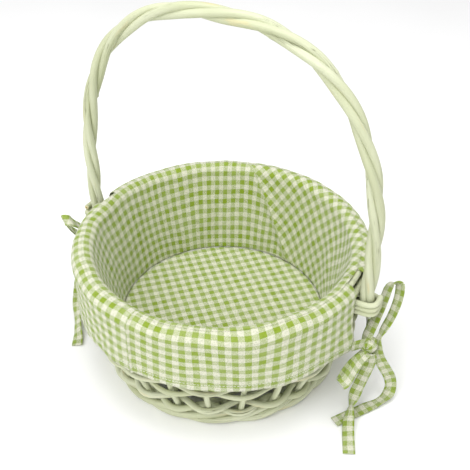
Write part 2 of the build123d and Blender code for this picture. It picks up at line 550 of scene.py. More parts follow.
def thicken(piece: bpy.types.Object, thickness: float) -> None:
    """Gives a sheet its thickness, half to each side.

    Args:
        piece: the sheet.
        thickness: its full thickness.
    """
    thick = piece.modifiers.new("cloth thickness", "SOLIDIFY")
    thick.thickness = thickness
    thick.offset = 0.0


@dataclass
class Rod:
    """One willow rod: a round mesh along a line, uneven as grown wood is."""

    line: np.ndarray
    diameter: float
    seed: float
    closed: bool = False
    sides: int = 12
    knots: int = 2
    uneven: float = 0.045
    thin_end: float = 1.0

    @cached_property
    def along(self) -> np.ndarray:
        """Distance of each point from the start of the line."""
        runs = np.linalg.norm(np.diff(self.line, axis=0), axis=1)
        return np.concatenate([[0.0], np.cumsum(runs)])

    def frames(self) -> tuple[np.ndarray, np.ndarray]:
        """Two directions across the line at each point, carried along without twisting.

        Returns:
            The direction to the side and the one upwards, for each point.
        """
        ahead = np.roll(self.line, -1, axis=0) - np.roll(self.line, 1, axis=0)
        if not self.closed:
            ahead[0], ahead[-1] = self.line[1] - self.line[0], self.line[-1] - self.line[-2]
        ahead /= np.linalg.norm(ahead, axis=1)[:, None]
        first = np.cross(ahead[0], (0.13, 0.21, 0.97))
        across = [first / np.linalg.norm(first)]
        for direction in ahead[1:]:
            carried = across[-1] - direction * np.dot(across[-1], direction)
            across.append(carried / np.linalg.norm(carried))
        side = np.array(across)
        up = np.cross(ahead, side)
        if self.closed:
            last = side[-1] - ahead[0] * np.dot(side[-1], ahead[0])
            slip = atan2(np.dot(last, up[0]), np.dot(last, side[0]))
            turn = (-slip * np.arange(len(side)) / len(side))[:, None]
            side, up = side * np.cos(turn) + up * np.sin(turn), up * np.cos(turn) - side * np.sin(turn)
        return side, up

    def radii(self, angles: np.ndarray) -> np.ndarray:
        """Radius at each point and angle: tapered, lumpy, and raised at the knots.

        Args:
            angles: angles round the rod, in radians.

        Returns:
            The radii, one row for each point.
        """
        draws = np.random.default_rng(int(self.seed * 100) + 11)
        total = self.along[-1]
        taper = 1 + (self.thin_end - 1) * self.along / total
        lumps = np.array([wobble(s * 45, 0.0, self.seed) for s in self.along])
        if self.closed:
            fade = np.minimum(1.0, np.minimum(self.along, total - self.along) / (0.02 * total))
            lumps *= fade
        radius = (self.diameter / 2) * (taper * (1 + self.uneven * lumps))[:, None] * np.ones(len(angles))
        radius *= 1 + 0.018 * np.cos(3 * angles + self.seed)[None, :]
        for _ in range(self.knots):
            at, side = draws.uniform(0.08, 0.92) * total, draws.uniform(0, 2 * pi)
            near = np.exp(-(((self.along - at) / (1.3 * MM)) ** 2))[:, None]
            facing = np.exp(-((np.angle(np.exp(1j * (angles - side))) / 0.55) ** 2))[None, :]
            radius += 0.13 * self.diameter * near * facing
        return radius

    def mesh(self, name: str) -> bpy.types.Mesh:
        """The rod's mesh, with its cut ends and its own straight coordinates.

        Args:
            name: the mesh's name.

        Returns:
            The mesh.
        """
        angles = np.arange(self.sides) * 2 * pi / self.sides
        side, up = self.frames()
        radius = self.radii(angles)
        ring = side[:, None, :] * np.cos(angles)[None, :, None]
        ring = ring + up[:, None, :] * np.sin(angles)[None, :, None]
        points = self.line[:, None, :] + ring * radius[:, :, None]
        rod = np.empty_like(points)
        rod[:, :, 0] = self.along[:, None] + self.seed * 3.7
        rod[:, :, 1] = radius * np.cos(angles)
        rod[:, :, 2] = radius * np.sin(angles)
        n, m = len(self.line), self.sides
        rows = n if self.closed else n - 1
        faces = [
            (i * m + j, i * m + (j + 1) % m, (i + 1) % n * m + (j + 1) % m, (i + 1) % n * m + j)
            for i in range(rows)
            for j in range(m)
        ]
        verts, coords = points.reshape(-1, 3), rod.reshape(-1, 3)
        ends: list[int] = []
        if not self.closed:
            for at, out in ((0, -1.0), (n - 1, 1.0)):
                verts, coords = self.cap(verts, coords, faces, at, out)
                ends += list(range(len(faces) - m, len(faces)))
        mesh = bpy.data.meshes.new(name)
        mesh.from_pydata(verts.tolist(), [], faces)
        mesh.polygons.foreach_set("use_smooth", [True] * len(faces))
        store(mesh, "rod", coords)
        mesh.materials.append(FINISHES.willow)
        mesh.materials.append(FINISHES.cut_end)
        for index in ends:
            mesh.polygons[index].material_index = 1
        mesh.update()
        return mesh

    def cap(self, verts: np.ndarray, coords: np.ndarray, faces: list, at: int, out: float) -> tuple:
        """Closes one end with a slightly rounded edge and a flat cut.

        Args:
            verts: points so far.
            coords: the rod's own coordinates so far.
            faces: faces so far, added to in place.
            at: index of the end on the line.
            out: 1 for the last end, -1 for the first.

        Returns:
            The points and the coordinates with the cap.
        """
        m = self.sides
        first = at * m
        middle = verts[first : first + m].mean(axis=0)
        run = self.line[at] - self.line[at - 1 if out > 0 else 1]
        run = run / np.linalg.norm(run) * 0.12 * self.diameter
        edge = middle + (verts[first : first + m] - middle) * 0.86 + run
        inner = coords[first : first + m] * (1, 0.86, 0.86)
        start = len(verts)
        verts = np.vstack([verts, edge, middle + run])
        coords = np.vstack([coords, inner, inner.mean(axis=0)])
        for j in range(m):
            k = (j + 1) % m
            quad = (first + j, start + j, start + k, first + k)
            faces.append(quad if out < 0 else quad[::-1])
        for j in range(m):
            k = (j + 1) % m
            corner = (start + j, start + m, start + k)
            faces.append(corner if out < 0 else corner[::-1])
        return verts, coords


def rods_mesh(name: str, rods: Iterable[Rod]) -> bpy.types.Mesh:
    """Several rods that make one node, as one mesh.

    Args:
        name: the mesh's name.
        rods: the rods.

    Returns:
        The joined mesh.
    """
    meshes = [rod.mesh(f"{name}_{index}") for index, rod in enumerate(rods)]
    objects = [bpy.data.objects.new(mesh.name, mesh) for mesh in meshes]
    for made in objects:
        bpy.context.scene.collection.objects.link(made)
    with bpy.context.temp_override(active_object=objects[0], selected_editable_objects=objects):
        bpy.ops.object.join()
    mesh = objects[0].data
    bpy.data.objects.remove(objects[0])
    mesh.name = name
    return mesh


# --------------------------------------------------------------------------- willow work


@dataclass
class BaseWork:
    """The round base: two layers of crossed sticks, and two rods woven round their arms."""

    stick_d: float = 5.0 * MM
    stick_gap: float = 6.5 * MM
    layer: float = 2.8 * MM
    edge_r: float = 92.0 * MM
    fan_r: float = 29.0 * MM
    cross_r: float = 14.0 * MM
    weaver_d: float = 4.2 * MM
    first_r: float = 33.0 * MM
    last_r: float = 86.0 * MM
    arms: int = 12

    def stick(self, offset: int, turn: float, layer: float, seed: float) -> Rod:
        """One stick, straight through the crossing and fanned out to two arms.

        Args:
            offset: -1, 0 or 1, the place across the crossing.
            turn: the layer's direction, in radians.
            layer: the layer's height from the middle.
            seed: start of its unevenness.

        Returns:
            The rod.
        """
        arm = offset * 2 * pi / self.arms
        z = WALL.foot_z
        crossing = (self.cross_r, offset * self.stick_gap, z + layer)
        side = [polar(self.edge_r, arm, z), polar(self.fan_r, arm, z), crossing]
        points = np.array(side + [(-x, y, h) for x, y, h in reversed(side)])
        spun = points.copy()
        spun[:, 0] = points[:, 0] * cos(turn) - points[:, 1] * sin(turn)
        spun[:, 1] = points[:, 0] * sin(turn) + points[:, 1] * cos(turn)
        return Rod(soften(spun), self.stick_d, seed, knots=1)

    def weaver(self, phase: int) -> Rod:
        """One of two rods that wind outwards, over one arm and under the next.

        Args:
            phase: 0 or 1.

        Returns:
            The rod.
        """
        turns = (self.last_r - self.first_r) / (4 * (self.weaver_d / 2 + WALL.gap))
        lift = self.stick_d / 2 + self.weaver_d / 2 + 1.5 * WALL.gap
        steps = int(turns * self.arms)
        line = []
        for j in range(steps * 6 + 1):
            k = j / 6
            radius = self.first_r + (self.last_r - self.first_r) * k / (turns * self.arms)
            angle = (k + phase * self.arms / 2) * 2 * pi / self.arms
            rise = lift * cos(pi * (k + phase)) * (0.97 + 0.05 * wobble(k, 1.0, phase))
            line.append(polar(radius + 0.25 * MM * wobble(k * 0.7, 5.0, phase), angle, WALL.foot_z + rise))
        return Rod(np.array(line), self.weaver_d, 4.0 + phase, sides=10, knots=6)

    def build(self) -> None:
        """Makes the sticks and the woven rods."""
        for name, turn, layer in (("lower", 0.0, -self.layer), ("upper", pi / 2, self.layer)):
            rods = [self.stick(offset, turn, layer, 1.3 + offset * 0.31 + turn) for offset in (-1, 0, 1)]
            node = f"base_sticks_{name}"
            place(f"{node}_willow", rods_mesh(f"{node}_willow", rods), node)
        for phase, letter in enumerate("ab"):
            node = f"base_weaver_{letter}"
            place(f"{node}_willow", self.weaver(phase).mesh(node), node)
        log.info("base: sticks and two weavers")


@dataclass
class SideWork:
    """Stakes and everything woven round them, from the foot to the border."""

    samples: int = 8
    foot_d: float = 6.0 * MM
    foot_ring_r: float = 102.2 * MM
    foot_ring_z: float = 6.6 * MM
    foot_twist_r: float = 3.3 * MM
    foot_turns: int = 6
    wale_d: float = 5.4 * MM
    wale_first_z: float = 15.4 * MM
    wale_pitch: float = 5.7 * MM
    weaver_d: float = 4.2 * MM
    weaver_press: float = 1.2 * MM
    weaver_first_z: float = 34.0 * MM
    weaver_rise: float = 16.0 * MM
    weaver_turns: float = 3.4
    border_d: float = 5.0 * MM
    border_z: float = 110.2 * MM
    border_top_d: float = 6.0 * MM
    border_top_z: float = 117.6 * MM
    border_top_out: float = 0.6 * MM
    stake_start_r: float = 91.0 * MM
    stake_level_r: float = 96.0 * MM
    stake_low_z: float = 16.0 * MM

    def stake(self, k: int) -> Rod:
        """One stake, bent up at the edge of the base.

        Args:
            k: its number round the basket.

        Returns:
            The rod.
        """
        angle = (k + 0.5) * WALL.step
        lean = 0.5 * MM * wobble(k * 1.7, 3.0, 2.0)
        top = WALL.top_r + lean
        points = [
            polar(self.stake_start_r, angle, WALL.foot_z),
            polar(self.stake_level_r, angle, WALL.foot_z),
            polar(WALL.foot_r, angle, WALL.foot_z + 0.2 * MM),
            polar(WALL.radius(self.stake_low_z), angle, self.stake_low_z),
            polar(WALL.flare_r + lean * 0.5, angle + 0.004 * wobble(k * 2.3, 1.0, 5.0), WALL.flare_z),
            polar(top, angle, WALL.top_z),
        ]
        return Rod(soften(points, 3), WALL.stake_d, 10 + k * 0.37, knots=1, thin_end=0.86)

    def ring(
        self, radius: Callable[[float], float], height: Callable[[float], float], rod_d: float, seed: float
    ) -> Rod:
        """A closed rod whose radius and height depend on the angle.

        Args:
            radius: radius at an angle.
            height: height at an angle.
            rod_d: the rod's diameter.
            seed: start of its unevenness.

        Returns:
            The rod.
        """
        count = WALL.stake_count * self.samples
        angles = np.arange(count) * 2 * pi / count
        line = np.array([polar(radius(a), a, height(a)) for a in angles])
        return Rod(line, rod_d, seed, closed=True, knots=5)

    def foot_rod(self, strand: int) -> Rod:
        """One of the three rods roped round the foot.

        Args:
            strand: 0, 1 or 2.

        Returns:
            The rod.
        """

        def turn(a: float) -> float:
            """Angle of this rod round the rope's middle."""
            return self.foot_turns * a + strand * 2 * pi / 3 + 0.35 * sin(3 * a + strand)

        return self.ring(
            lambda a: self.foot_ring_r + self.foot_twist_r * cos(turn(a)),
            lambda a: self.foot_ring_z + self.foot_twist_r * sin(turn(a)),
            self.foot_d,
            20.0 + strand,
        )

    def wale_rod(self, row: int) -> Rod:
        """One thick row, in and out between the stakes and slanting like rope.

        Args:
            row: 0 for the lower row, 1 for the upper.

        Returns:
            The rod.
        """
        z = self.wale_first_z + row * self.wale_pitch
        reach = WALL.offset(self.wale_d)

        def radius(a: float) -> float:
            """In and out round each stake in turn."""
            wave = cos(pi * (a / WALL.step - 0.5 + row))
            return WALL.radius(z) + reach * wave

        def height(a: float) -> float:
            """Slants up past each stake, as waled rods do."""
            return z + 0.8 * MM * sin(pi * (a / WALL.step - 0.5 + row)) + 0.4 * MM * sin(5 * a + row)

        return self.ring(radius, height, self.wale_d, 24.0 + row)

    def weaver(self, phase: int) -> Rod:
        """One of two thin rods that climb the side in opposite phase, pressed hard against the stakes.

        Args:
            phase: 0 or 1.

        Returns:
            The rod.
        """
        steps = int(self.weaver_turns * WALL.stake_count)
        reach = WALL.offset(self.weaver_d) - self.weaver_press
        line = []
        for j in range(steps * self.samples + 1):
            k = j / self.samples
            z = self.weaver_first_z + self.weaver_rise * (k / WALL.stake_count + phase / 2)
            z += 1.8 * MM * wobble(k * 0.45, 2.0, 6.0 + phase)
            angle = (k + 0.5) * WALL.step
            line.append(polar(WALL.radius(z) + reach * cos(pi * (k + phase)), angle, z))
        return Rod(np.array(line), self.weaver_d, 28.0 + phase, sides=12, knots=9)

    def build(self) -> None:
        """Makes the foot, stakes, wale, weavers and border."""
        rods = [self.stake(k) for k in range(WALL.stake_count)]
        place("side_stakes_willow", rods_mesh("side_stakes_willow", rods), "side_stakes")
        for strand, word in enumerate(("inner", "outer", "upper")):
            self.put(f"foot_rod_{word}", self.foot_rod(strand))
        for row in range(2):
            self.put(f"wale_rod_{row + 1}", self.wale_rod(row))
        for phase, letter in enumerate("ab"):
            self.put(f"side_weaver_{letter}", self.weaver(phase))
        across = WALL.stake_d / 2 + self.border_d / 2 + WALL.gap
        middle = WALL.radius(self.border_z)
        for word, side in (("inner", -1), ("outer", 1)):
            reach = middle + side * across
            rod = self.ring(lambda a, reach=reach: reach, lambda a: self.border_z, self.border_d, 30.0 + side)
            self.put(f"border_rod_{word}", rod)
        top = WALL.top_r + self.border_top_out
        rod = self.ring(
            lambda a: top + 0.4 * MM * sin(12 * a),
            lambda a: self.border_top_z + 0.3 * MM * sin(24 * a),
            self.border_top_d,
            33.0,
        )
        self.put("border_rod_top", rod)
        log.info("side: stakes, foot, wale, weavers and border")

    def put(self, node: str, rod: Rod) -> None:
        """Places one rod for its CAD node."""
        place(f"{node}_willow", rod.mesh(f"{node}_willow"), node)


@dataclass
class RopedHandle:
    """Three rods twisted round each other in an arch, and the rod ends turned round its feet."""

    half_span: float = 134.0 * MM
    foot_z: float = 96.0 * MM
    spring_z: float = 144.0 * MM
    rise: float = 172.0 * MM
    power: float = 2.4
    strand_d: float = 6.5 * MM
    strand_r: float = 3.4 * MM
    pitch: float = 137.0 * MM
    lashing_d: float = 4.5 * MM
    lashing_z: float = 99.8 * MM
    lashing_turns: float = 2.75
    lashing_in_x: float = 111.6 * MM
    lashing_out_x: float = 143.6 * MM
    lashing_half_y: float = 9.0 * MM

    def arch(self) -> np.ndarray:
        """Evenly spaced points of the middle line, as x and z.

        Returns:
            Rows of x, z and distance along the arch.
        """
        legs = np.linspace(self.foot_z, self.spring_z, 40)[:-1]
        angles = np.linspace(0, pi, 600)
        c, s = np.cos(angles), np.clip(np.sin(angles), 0, None)
        x = self.half_span * np.sign(c) * np.abs(c) ** (2 / self.power)
        z = self.spring_z + self.rise * s ** (2 / self.power)
        up = np.stack([np.full_like(legs, self.half_span), legs], 1)
        down = np.stack([np.full_like(legs, -self.half_span), legs[::-1]], 1)
        line = np.vstack([up, np.stack([x, z], 1), down])
        along = np.concatenate([[0], np.cumsum(np.hypot(*np.diff(line, axis=0).T))])
        even = np.linspace(0, along[-1], 330)
        return np.stack([np.interp(even, along, line[:, 0]), np.interp(even, along, line[:, 1]), even], 1)

    def strand(self, index: int) -> Rod:
        """One rod of the rope.

        Args:
            index: 0, 1 or 2.

        Returns:
            The rod.
        """
        line = self.arch()
        ahead = np.gradient(line[:, :2], axis=0)
        ahead /= np.linalg.norm(ahead, axis=1)[:, None]
        out = np.stack([ahead[:, 1], -ahead[:, 0]], 1)
        places = []
        for (x, z, s), (across_x, across_z) in zip(line, out):
            turn = 2 * pi * s / self.pitch + index * 2 * pi / 3 + 0.30 * wobble(s * 9, 1.0, index + 3)
            reach = self.strand_r * (1 + 0.07 * wobble(s * 14, 4.0, index))
            sway = 0.9 * MM * wobble(s * 11, 8.0, 1.0)
            far = reach * cos(turn) + sway
            y = -reach * sin(turn) + 0.7 * MM * wobble(s * 10, 2.0, 9.0)
            places.append((x + far * across_x, y, z + far * across_z))
        return Rod(np.array(places), self.strand_d, 40.0 + index, sides=16, knots=5, uneven=0.07)

    def lashing(self, side: int) -> Rod:
        """Rod end turned round a foot and through the wall, nearly three times.

        Args:
            side: 1 for the right foot, -1 for the left.

        Returns:
            The rod.
        """
        middle_x = (self.lashing_in_x + self.lashing_out_x) / 2
        half_x = (self.lashing_out_x - self.lashing_in_x) / 2
        line = []
        for angle in np.linspace(0.6 * pi, (0.6 + 2 * self.lashing_turns) * pi, 160):
            c, s = cos(angle), sin(angle)
            x = middle_x + half_x * (1 if c > 0 else -1) * abs(c) ** 0.5
            y = self.lashing_half_y * (1 if s > 0 else -1) * abs(s) ** 0.5
            climb = (angle / (2 * pi) - 0.3) / self.lashing_turns - 0.5
            z = self.lashing_z + self.lashing_turns * (self.lashing_d + 0.1 * MM) * climb
            line.append((side * x, side * y, z + 0.5 * MM * wobble(angle, 2.0, side)))
        return Rod(soften(line, 1), self.lashing_d, 46.0 + side, knots=1)

    def build(self) -> None:
        """Makes the rope and its two lashings."""
        for index, letter in enumerate("abc"):
            node = f"handle_rod_{letter}"
            place(f"{node}_willow", self.strand(index).mesh(f"{node}_willow"), node)
        for side, word in ((1, "right"), (-1, "left")):
            node = f"handle_lashing_{word}"
            place(f"{node}_willow", self.lashing(side).mesh(f"{node}_willow"), node)
        log.info("handle: three twisted rods and two lashings")


# --------------------------------------------------------------------------- liner


@dataclass
class Cloth:
    """A grid of cloth: places from a function, closed to a thin sheet."""

    name: str
    across: np.ndarray
    down: np.ndarray
    where: Callable[[float, float], Point]
    weave: Callable[[float, float], tuple[float, float]]
    thickness: float = 0.45 * MM

    def mesh(self, finish: bpy.types.Material) -> bpy.types.Mesh:
        """The sheet's middle surface with its flat coordinates.

        Args:
            finish: its material.

        Returns:
            The mesh.
        """
        verts = [self.where(a, b) for a in self.across for b in self.down]
        flat = [(*self.weave(a, b), 0.0) for a in self.across for b in self.down]
        return cloth_mesh(self.name, verts, flat, len(self.down), finish)

    def piece(self, finish: bpy.types.Material, node: str | None) -> bpy.types.Object:
        """The sheet with its thickness, as a piece of the basket.

        Args:
            finish: its material.
            node: the CAD node that it stands for.

        Returns:
            The piece.
        """
        made = place(self.name, self.mesh(finish), node)
        thicken(made, self.thickness)
        return made


@dataclass
class Liner:
    """Gingham liner: round bottom, wall, and two flaps folded over the border."""

    floor_z: float = 37.8 * MM
    floor_r: float = 92.4 * MM
    arch_in_r: float = 110.4 * MM
    arch_out_r: float = 129.4 * MM
    arch_z: float = 112.6 * MM
    arch_rise: float = 9.6 * MM
    hem_z: float = 62.4 * MM
    slot_top: float = radians(4.9)
    slot_low: float = radians(6.6)
    stitch_inset: float = 7.0 * MM
    lap: float = 9.0 * MM
    cover: float = 0.24 * MM
    hem_sag: float = 3.0 * MM
    check: float = 9.2 * MM
    checks_round: int = 78
    pull: float = 5.0 * MM
    ridge_foot: float = radians(76.0)
    ridge_width: float = 5.0 * MM
    ridge_height: float = 2.4 * MM
    ridge_top: float = radians(101.0)
    bias: float = radians(-38.0)
    pleat_angle: float = radians(265.2)
    pleat_width: float = 2.6 * MM
    pleat_depth: float = 6.0 * MM
    tie_pull: float = 4.6 * MM
    tie_reach: float = 15.0 * MM
    tie_z: float = 66.0 * MM

    @property
    def wall_length(self) -> float:
        """Slope length of the wall from the floor seam to the start of the fold."""
        return hypot(self.arch_in_r - self.floor_r, self.arch_z - self.floor_z)

    @property
    def fold_length(self) -> float:
        """Length of cloth in the fold over the border."""
        return pi * (self.arch_out_r - self.arch_in_r) / 2

    @property
    def hang_length(self) -> float:
        """Length of a flap below the fold."""
        return self.arch_z - self.hem_z

    def ripple(self, angle: float, s: float) -> float:
        """Soft unevenness of the cloth, outwards.

        Args:
            angle: place round the basket, in radians.
            s: distance up from the floor seam, along the cloth.

        Returns:
            The unevenness, in metres.
        """
        x, y = cos(angle) * 3.2, sin(angle) * 3.2
        broad = noise.noise(Vector((x, y, s * 14)))
        fine = noise.noise(Vector((x * 3.1, y * 3.1, s * 30 + 9)))
        slack = 1 - abs(noise.noise(Vector((x * 1.3 + s * 16, y * 1.3 - s * 9, 3.0)))) * 7
        return 1.7 * MM * broad + 0.6 * MM * fine - 1.0 * MM * max(slack, 0.0) ** 1.5

    def ridge(self, angle: float, s: float) -> float:
        """Distance round the wall from its soft standing crease, which leans with height."""
        lean = self.ridge_foot + (self.ridge_top - self.ridge_foot) * s / self.wall_length
        return (angle - lean) * self.arch_in_r

    def pleat(self, angle: float) -> float:
        """Share, from 0 to 1, of the way across the front flap's pleat."""
        turn = (angle + 2 * pi) % (2 * pi)
        return min(1.0, max(0.0, (turn - self.pleat_angle) * self.arch_out_r / self.pleat_width + 0.5))

    def corner_pull(self, share: float, z: float) -> float:
        """How far a tie draws the flap outwards, at a share of the flap's width and a height.

        Args:
            share: place across the flap, from -1 to 1.
            z: height above the ground.

        Returns:
            The pull, in metres.
        """
        inward = (1 - abs(share)) * pi / 2 * self.arch_out_r
        away = (z - self.tie_z) / self.tie_reach
        return self.tie_pull * float(np.exp(-((inward / self.tie_reach) ** 2) - away**2))

    def weave(self, angle: float, s: float) -> tuple[float, float]:
        """Cloth coordinates: round the basket and up it, and slanting beyond the ridge.

        Args:
            angle: place round the basket, in radians.
            s: distance up from the floor seam, along the cloth.

        Returns:
            Distances along the two yarns.
        """
        x, y = cos(angle) * 1.9, sin(angle) * 1.9
        pull = self.pull * noise.noise(Vector((x, y, s * 9)))
        droop = self.pull * noise.noise(Vector((x * 1.4, y * 1.4, s * 12 + 7)))
        u = angle * self.checks_round * self.check / (2 * pi) + self.pleat_depth * self.pleat(angle) + pull
        v = s + droop
        turn = (angle + 2 * pi) % (2 * pi)
        if self.ridge(turn, s) > 0 or turn > pi:
            return (u, v)
        c, d = cos(self.bias), sin(self.bias)
        return (u * c - v * d, u * d + v * c)

    def profile(self, angle: float, s: float, cover: float = 0.0) -> Point:
        """Place on the liner.

        Args:
            angle: place round the basket, in radians.
            s: distance up from the floor seam, along the cloth.
            cover: how far the cloth lies off its middle surface, away from the border.

        Returns:
            The point, in metres.
        """
        wall, fold, hang = self.wall_length, self.fold_length, self.hang_length
        if s < wall:
            share = s / wall
            radius = self.floor_r + (self.arch_in_r - self.floor_r) * share
            z = self.floor_z + (self.arch_z - self.floor_z) * share
            push = self.ripple(angle, s) * sin(pi * min(share * 1.1, 1.0)) - 1.2 * MM * sin(pi * share)
            crease = np.exp(-((self.ridge(angle % (2 * pi), s) / self.ridge_width) ** 2))
            push -= self.ridge_height * crease * sin(pi * share) ** 0.5
            return polar(radius + push - cover, angle, z)
        middle = (self.arch_in_r + self.arch_out_r) / 2
        half = (self.arch_out_r - self.arch_in_r) / 2 + cover
        edge = self.pleat(angle)
        bump = 1.5 * MM * edge * (1 - edge) * 4
        if s < wall + fold:
            turn = pi * (s - wall) / fold
            lift = 1.1 * MM * noise.noise(Vector((cos(angle) * 5, sin(angle) * 5, 2.0))) - 0.5 * MM + cover
            sway = 0.5 * MM * noise.noise(Vector((cos(angle) * 7, sin(angle) * 7, 6.0))) * sin(turn)
            far = middle - half * cos(turn) + sway + bump * sin(turn / 2)
            return polar(far, angle, self.arch_z + (self.arch_rise + lift) * sin(turn))
        drop = (s - wall - fold) / hang
        push = (self.ripple(angle, s) * 0.8) * min(1.0, drop * 1.6) - 0.7 * MM
        uneven = 1.8 * MM * noise.noise(Vector((cos(angle) * 2.6, sin(angle) * 2.6, 11.0)))
        hem = self.hem_z + self.hem_sag * (2 * abs(sin(angle)) - 1) + uneven
        far = self.arch_out_r + cover + min(push, 0.6 * MM) + bump
        return polar(far, angle, self.arch_z - drop * (self.arch_z - hem))

    def wall(self) -> bpy.types.Object:
        """The wall inside the basket; its top edge goes up to the top of the border, over the flaps.

        Returns:
            The piece.
        """

        def where(angle: float, s: float) -> Point:
            """Place on the wall, lying on the flaps near its top."""
            tuck = min(1.0, max(0.0, (s - self.wall_length + 24 * MM) / (12 * MM)))
            return self.profile(angle, s, self.cover * tuck)

        cloth = Cloth(
            "liner_wall_gingham",
            np.linspace(0, 2 * pi, 481),
            np.linspace(0, self.wall_length + 0.5 * self.fold_length, 54),
            where,
            self.weave,
        )
        return cloth.piece(FINISHES.gingham, "liner_wall")

    def bottom(self) -> bpy.types.Object:
        """The round bottom, cut on the slant.

        Returns:
            The piece.
        """

        def where(angle: float, share: float) -> Point:
            """Place on the bottom at an angle and a share of its radius.

            Args:
                angle: place round the basket, in radians.
                share: share of the radius.

            Returns:
                The point.
            """
            radius = share * (self.floor_r - 0.6 * MM)
            x, y = radius * cos(angle), radius * sin(angle)
            puff = 0.9 * MM * noise.noise(Vector((x * 26, y * 26, 4.0))) * (1 - share**6)
            pucker = 0.35 * MM * sin(46 * angle) * share**10
            return (x, y, self.floor_z - 0.2 * MM + max(puff, -0.4 * MM) + pucker)

        def weave(angle: float, share: float) -> tuple[float, float]:
            """Cloth coordinates turned half a right angle."""
            x, y, _ = where(angle, share)
            return ((x + y) * 0.7071, (y - x) * 0.7071)

        shares = np.concatenate([[0.002], np.linspace(0.04, 1.0, 40)])
        cloth = Cloth("liner_base_gingham", np.linspace(0, 2 * pi, 241), shares, where, weave)
        return cloth.piece(FINISHES.gingham, "liner_base")

    def flap(self, word: str, middle: float) -> bpy.types.Object:
        """One flap, from the start of the fold to its hem, between the handle feet.

        Args:
            word: front or back.
            middle: angle of the flap's middle, in radians.

        Returns:
            The piece.
        """
        start = self.wall_length - self.lap
        total = self.lap + self.fold_length + self.hang_length

        def spread(share: float, s: float) -> float:
            """Angle for a share of the flap's width; the slots narrow downwards.

            Args:
                share: place across the flap, from -1 to 1.
                s: distance up from the floor seam, along the cloth.

            Returns:
                The angle, in radians.
            """
            low = min(1.0, max(0.0, (s - self.wall_length - self.fold_length * 0.6) / self.hang_length))
            slot = self.slot_top + (self.slot_low - self.slot_top) * low
            return middle + share * (pi / 2 - slot)

        def where(share: float, s: float) -> Point:
            """Place on the flap, whose lower corners the ties draw outwards.

            Args:
                share: place across the flap, from -1 to 1.
                s: distance up from the floor seam, along the cloth.

            Returns:
                The point.
            """
            x, y, z = self.profile(spread(share, s), s, -self.cover)
            grow = 1 + self.corner_pull(share, z) / self.arch_out_r
            return (x * grow, y * grow, z)

        cloth = Cloth(
            f"liner_{word}_flap_gingham",
            np.linspace(-1, 1, 301),
            start + np.linspace(0, total, 48),
            where,
            lambda share, s: self.weave(spread(share, s), s),
        )
        made = cloth.piece(FINISHES.gingham, f"liner_{word}_flap")
        stitches = self.stitching(word, where, start + total - self.stitch_inset)
        return made

    def stitching(self, word: str, where: Callable[[float, float], Point], s: float) -> bpy.types.Object:
        """The line of stitches that holds the hem.

        Args:
            word: front or back.
            where: the place on the flap for a share and a distance.
            s: distance of the stitches up from the floor seam, along the cloth.

        Returns:
            The piece.
        """
        rods = []
        count = 132
        for index in range(count):
            share = -0.985 + 1.97 * index / (count - 1)
            tips = []
            for step in (-0.0045, 0.0, 0.0045):
                x, y, z = where(share + step, s)
                out = (0.52 * MM if step == 0.0 else 0.36 * MM) / hypot(x, y)
                tips.append((x * (1 + out), y * (1 + out), z))
            rods.append(Rod(np.array(tips), 0.45 * MM, 60 + index * 0.1, sides=6, knots=0))
        mesh = rods_mesh(f"{word}_flap_stitches", rods)
        mesh.materials.clear()
        mesh.materials.append(FINISHES.thread)
        mesh.polygons.foreach_set("material_index", [0] * len(mesh.polygons))
        return place(mesh.name, mesh, None)

    def build(self) -> None:
        """Makes the liner's four parts."""
        bottom, wall = self.bottom(), self.wall()
        over = self.fold_length / 2
        crown_r = (self.arch_in_r + self.arch_out_r) / 2
        area = pi * (self.floor_r + self.arch_in_r) * self.wall_length
        area += pi * (self.arch_in_r + crown_r) * over
        for word, middle in (("front", -pi / 2), ("back", pi / 2)):
            self.flap(word, middle)
        log.info("liner: bottom, wall and two flaps")


# --------------------------------------------------------------------------- ties

FRONT_TIE_MM = [
    (132.4, -19.0, 66.0), (136.5, -13.0, 65.5), (141.0, -6.5, 63.5), (143.6, -1.0, 59.5),
    (142.6, -3.0, 53.5), (139.0, -11.5, 51.0), (135.8, -22.5, 51.0), (134.0, -33.0, 49.5),
    (133.8, -41.0, 48.8), (134.1, -46.0, 49.2), (135.7, -49.0, 51.2), (138.6, -49.0, 54.8),
    (139.7, -45.0, 56.2), (140.0, -34.5, 57.5), (142.0, -20.5, 59.8), (145.3, -11.5, 58.3),
    (146.5, -8.5, 51.0), (145.8, -10.0, 41.0), (143.0, -16.0, 29.5), (141.0, -24.0, 18.5),
    (141.5, -34.0, 10.0), (145.0, -46.0, 4.4), (150.5, -58.5, 1.9), (156.0, -71.0, 1.6),
]
BACK_TIE_MM = [
    (132.4, 19.0, 66.0), (135.5, 11.0, 62.0), (137.5, 3.0, 57.8), (138.3, -4.0, 58.2),
    (138.8, -5.8, 65.5), (140.5, 1.5, 75.5), (142.5, 11.5, 86.0), (143.2, 20.0, 95.0),
    (143.4, 25.2, 101.2), (146.0, 28.7, 104.7), (151.2, 30.0, 104.7), (153.1, 28.2, 101.4),
    (153.8, 22.9, 91.5), (152.4, 15.0, 79.5), (148.8, 5.5, 68.5), (147.3, -1.5, 59.5),
    (150.5, -3.0, 49.0), (156.5, -0.5, 37.0), (161.5, 3.5, 25.0), (164.3, 4.5, 13.5),
    (163.8, 0.5, 5.2), (158.8, -8.5, 1.8), (152.0, -18.0, 1.7), (145.7, -27.5, 1.6),
    (139.3, -37.0, 1.7), (133.2, -46.7, 1.6),
]
LEFT_TAIL_MM = [
    (-151.5, -1.5, 48.0), (-153.0, -11.0, 37.0), (-150.0, -23.0, 27.0), (-143.5, -35.5, 18.0),
    (-135.5, -48.0, 10.5), (-127.0, -59.5, 5.0), (-119.5, -69.0, 2.2), (-115.0, -77.0, 1.6),
]


def half_turn(points: Sequence[Point]) -> list[Point]:
    """The same points on the other side of the basket."""
    return [(-x, -y, z) for x, y, z in points]


